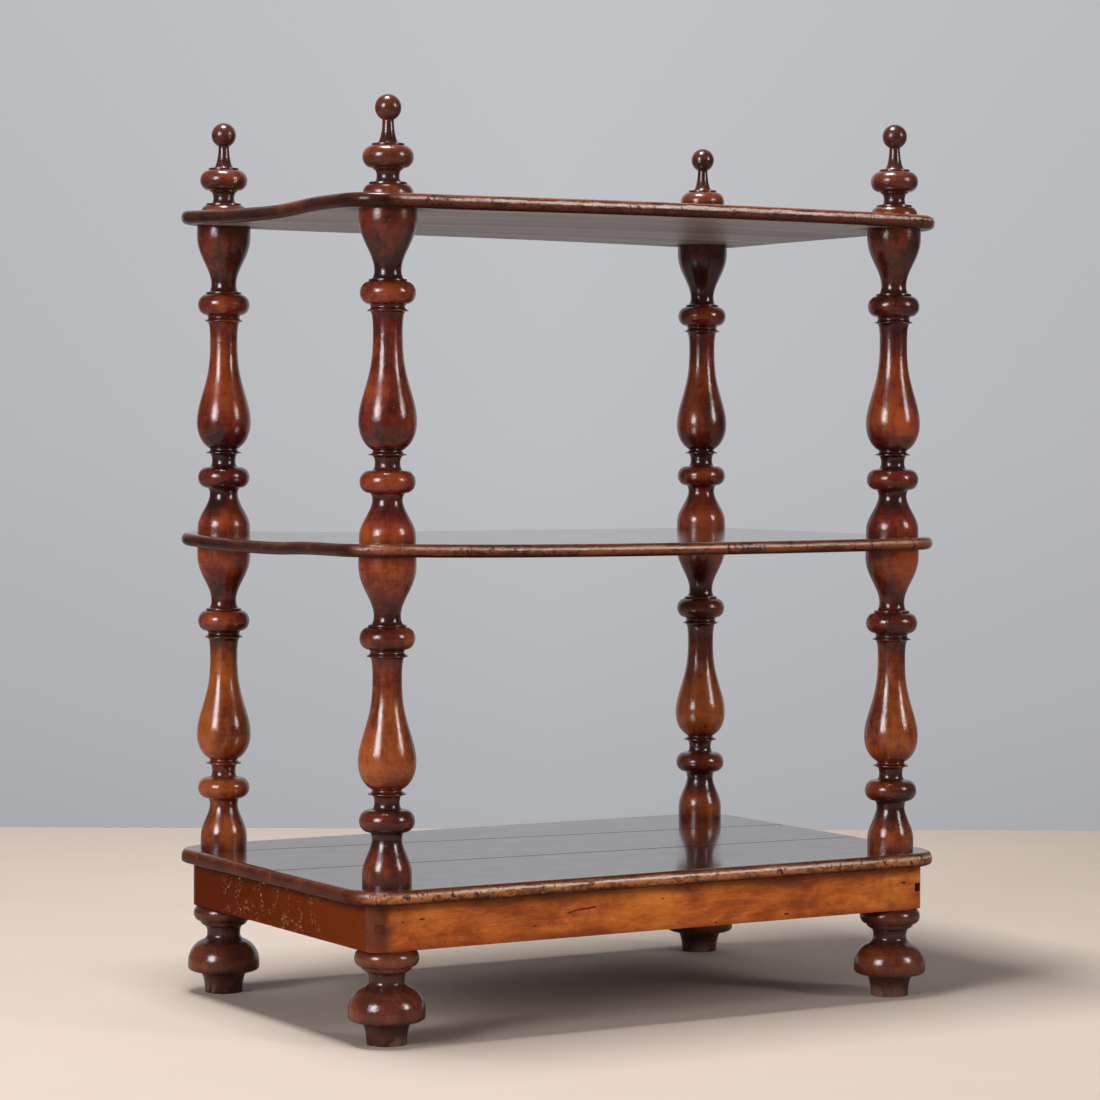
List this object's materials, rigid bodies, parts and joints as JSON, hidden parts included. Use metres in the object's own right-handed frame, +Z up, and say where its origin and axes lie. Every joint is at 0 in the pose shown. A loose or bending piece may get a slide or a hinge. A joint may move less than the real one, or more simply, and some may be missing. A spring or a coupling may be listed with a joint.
{
  "type": "etagere",
  "caption": "Free-standing wooden etagere with three tiers on stacked turned columns, a framed base on turned feet and turned finials.",
  "frame": {"origin": "on the floor, midway between the four stacks of columns", "axes": "+Z up, +X to the right along the front, -Y towards the front"},
  "size_m": [0.84, 0.5414, 1.0997],
  "materials": {
    "turned_wood": "polished red-brown walnut, worn",
    "shelf_wood": "polished brown, edges worn and pitted",
    "base_wood": "polished dark brown",
    "front_rail_wood": "polished orange-brown, figured",
    "side_rail_wood": "polished red-brown, scratched",
    "block_wood": "bare, matte"
  },
  "bodies": {
    "root": {"foot_front_left": "turned_wood", "foot_front_right": "turned_wood", "foot_back_left": "turned_wood", "foot_back_right": "turned_wood", "lower_column_front_left": "turned_wood", "lower_column_front_right": "turned_wood", "lower_column_back_left": "turned_wood", "lower_column_back_right": "turned_wood", "upper_column_front_left": "turned_wood", "upper_column_front_right": "turned_wood", "upper_column_back_left": "turned_wood", "upper_column_back_right": "turned_wood", "finial_front_left": "turned_wood", "finial_front_right": "turned_wood", "finial_back_left": "turned_wood", "finial_back_right": "turned_wood", "corner_block_front_left": "block_wood", "corner_block_front_right": "block_wood", "corner_block_back_left": "block_wood", "corner_block_back_right": "block_wood", "apron_front": "front_rail_wood", "apron_back": "front_rail_wood", "apron_left": "side_rail_wood", "apron_right": "side_rail_wood", "base_board_front": "base_wood", "base_board_middle": "base_wood", "base_board_back": "base_wood", "middle_shelf": "shelf_wood", "top_shelf": "shelf_wood"}
  },
  "joints": []
}
